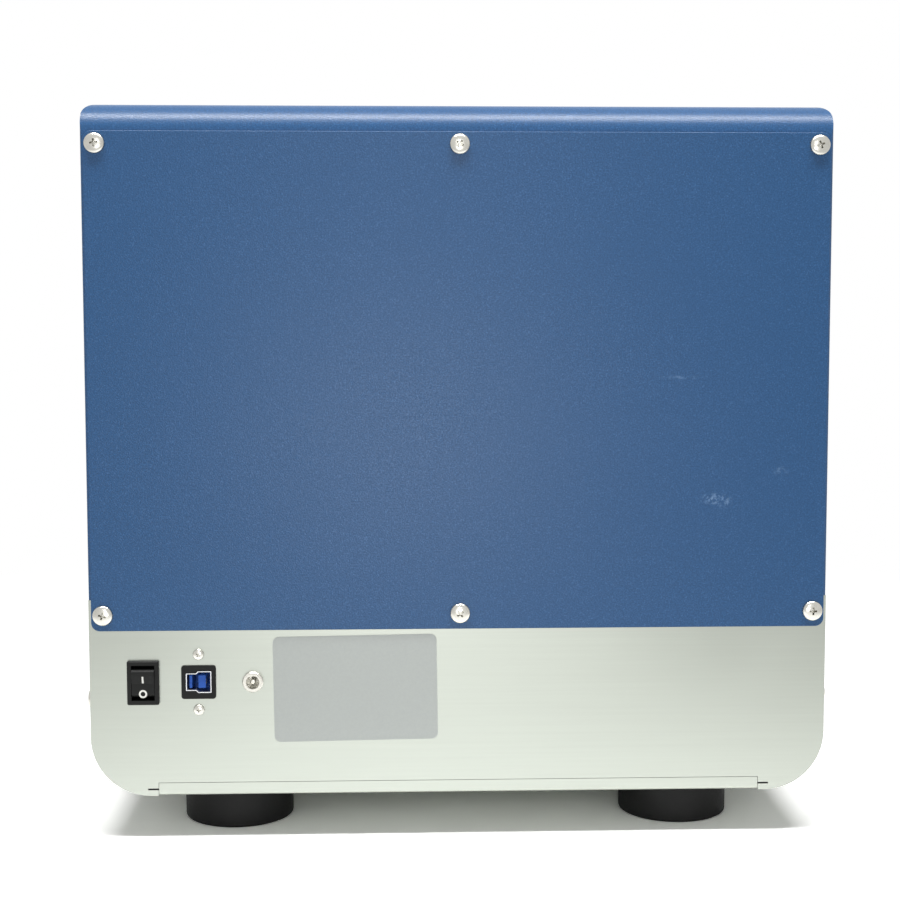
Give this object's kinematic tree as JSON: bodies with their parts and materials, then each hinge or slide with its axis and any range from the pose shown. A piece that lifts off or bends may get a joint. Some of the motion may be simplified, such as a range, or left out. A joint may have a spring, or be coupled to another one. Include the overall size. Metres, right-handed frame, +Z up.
{
  "type": "automated cell counter",
  "caption": "Boxy bench instrument with a textured blue hood on a silver base, a rear switch and sockets, round feet and a motorised front drawer over scanning optics.",
  "frame": {"origin": "on the bench, under the middle of the case", "axes": "+Z up; the front with the drawer faces -Y; the rear with its sockets faces +Y; +X is on the left when the rear is looked at"},
  "size_m": [0.3552, 0.4, 0.3473],
  "materials": {
    "blue_powder_coat": "fine textured powder coat",
    "brushed_aluminium": "satin, brushed crosswise",
    "nickel_screws": "nickel plated",
    "zinc_steel": "zinc plated",
    "foot_rubber": "moulded, satin",
    "label_film": "satin polyester film",
    "black_switch_plastic": "moulded nylon",
    "tin_brass": "tinned",
    "nickel_shell": "nickel plated, drawn",
    "blue_insulator": "moulded",
    "lamp_glass": "clear",
    "machined_aluminium": "machined, clear anodised",
    "ground_steel": "ground",
    "black_motor": "black paint",
    "black_anodised": "black anodised",
    "polymer_nut": "acetal",
    "objective_brass": "satin nickel over brass",
    "board_laminate": "green solder mask",
    "board_parts": "moulded"
  },
  "bodies": {
    "case": {"hood": "blue_powder_coat", "base_pan": "brushed_aluminium", "base_rear_panel": "brushed_aluminium", "base_front_panel": "brushed_aluminium", "rear_plate": "blue_powder_coat", "front_panel": "blue_powder_coat", "rear_plate_screws": "nickel_screws", "side_screws": "nickel_screws", "panel_nuts": "zinc_steel", "feet": "foot_rubber", "foot_screws": "zinc_steel", "rating_label": "label_film", "switch_housing": "black_switch_plastic", "switch_lugs": "tin_brass", "usb_mount": "black_switch_plastic", "usb_shell": "nickel_shell", "usb_insulator": "blue_insulator", "usb_screws": "nickel_screws", "dc_jack_body": "black_switch_plastic", "dc_jack_pin": "nickel_screws", "dc_jack_nut": "nickel_screws", "status_lamp_lens": "lamp_glass", "optics_base_plate": "machined_aluminium", "plate_standoffs": "zinc_steel", "stage_deck": "machined_aluminium", "deck_columns": "machined_aluminium", "drawer_rails": "ground_steel", "drawer_motor": "black_motor", "y_rails": "ground_steel", "y_motor": "black_motor", "control_board": "board_laminate", "board_standoffs": "zinc_steel", "board_components": "board_parts"},
    "rocker": {"switch_rocker": "black_switch_plastic"},
    "drawer": {"drawer_tray": "machined_aluminium", "drawer_front": "brushed_aluminium", "drawer_rack": "polymer_nut", "drawer_blocks": "ground_steel"},
    "pinion": {"drawer_pinion": "ground_steel"},
    "y_stage": {"y_blocks": "ground_steel", "y_carriage": "machined_aluminium", "y_nut": "polymer_nut", "x_rails": "ground_steel", "x_motor": "black_motor"},
    "y_screw": {"y_lead_screw": "ground_steel"},
    "x_stage": {"x_blocks": "ground_steel", "x_carriage": "machined_aluminium", "x_nut": "polymer_nut", "lamp_arm": "black_anodised", "lamp_housing": "black_anodised", "lamp_lens": "lamp_glass", "camera": "black_anodised", "optics_block": "black_anodised", "excitation_lamps": "black_anodised", "optics_motors": "black_motor"},
    "x_screw": {"x_lead_screw": "ground_steel"},
    "focus_stage": {"focus_plate": "black_anodised", "objective": "objective_brass"},
    "wheel": {"filter_wheel": "black_anodised", "filters": "lamp_glass"}
  },
  "joints": [
    {"name": "rocker_tilt", "type": "hinge", "parent": "case", "child": "rocker", "pos_m": [0.1498, 0.1949, 0.0761], "axis": [1, 0, 0], "range_deg": [0, 16]},
    {"name": "drawer_slide", "type": "slide", "parent": "case", "child": "drawer", "axis": [0, -1, 0], "range_m": [0, 0.155]},
    {"name": "pinion_spin", "type": "hinge", "parent": "case", "child": "pinion", "pos_m": [0.128, -0.035, 0.2053], "axis": [1, 0, 0], "range_deg": [0, 889.58]},
    {"name": "y_scan", "type": "slide", "parent": "case", "child": "y_stage", "axis": [0, 1, 0], "range_m": [-0.036, 0.036]},
    {"name": "y_screw_spin", "type": "hinge", "parent": "case", "child": "y_screw", "pos_m": [0, -0.035, 0.0703], "axis": [0, 1, 0], "continuous": true},
    {"name": "x_scan", "type": "slide", "parent": "y_stage", "child": "x_stage", "axis": [1, 0, 0], "range_m": [-0.05, 0.05]},
    {"name": "x_screw_spin", "type": "hinge", "parent": "y_stage", "child": "x_screw", "pos_m": [0, -0.035, 0.0863], "axis": [1, 0, 0], "continuous": true},
    {"name": "focus_slide", "type": "slide", "parent": "x_stage", "child": "focus_stage", "axis": [0, 0, 1], "range_m": [-0.003, 0.003]},
    {"name": "wheel_spin", "type": "hinge", "parent": "x_stage", "child": "wheel", "pos_m": [0, -0.067, 0.1403], "axis": [0, 0, 1], "continuous": true}
  ],
  "couplings": [
    {"joint": "pinion_spin", "follows": "drawer_slide", "rad_per_m": 100},
    {"joint": "y_screw_spin", "follows": "y_scan", "rad_per_m": -628.32},
    {"joint": "x_screw_spin", "follows": "x_scan", "rad_per_m": -628.32}
  ]
}
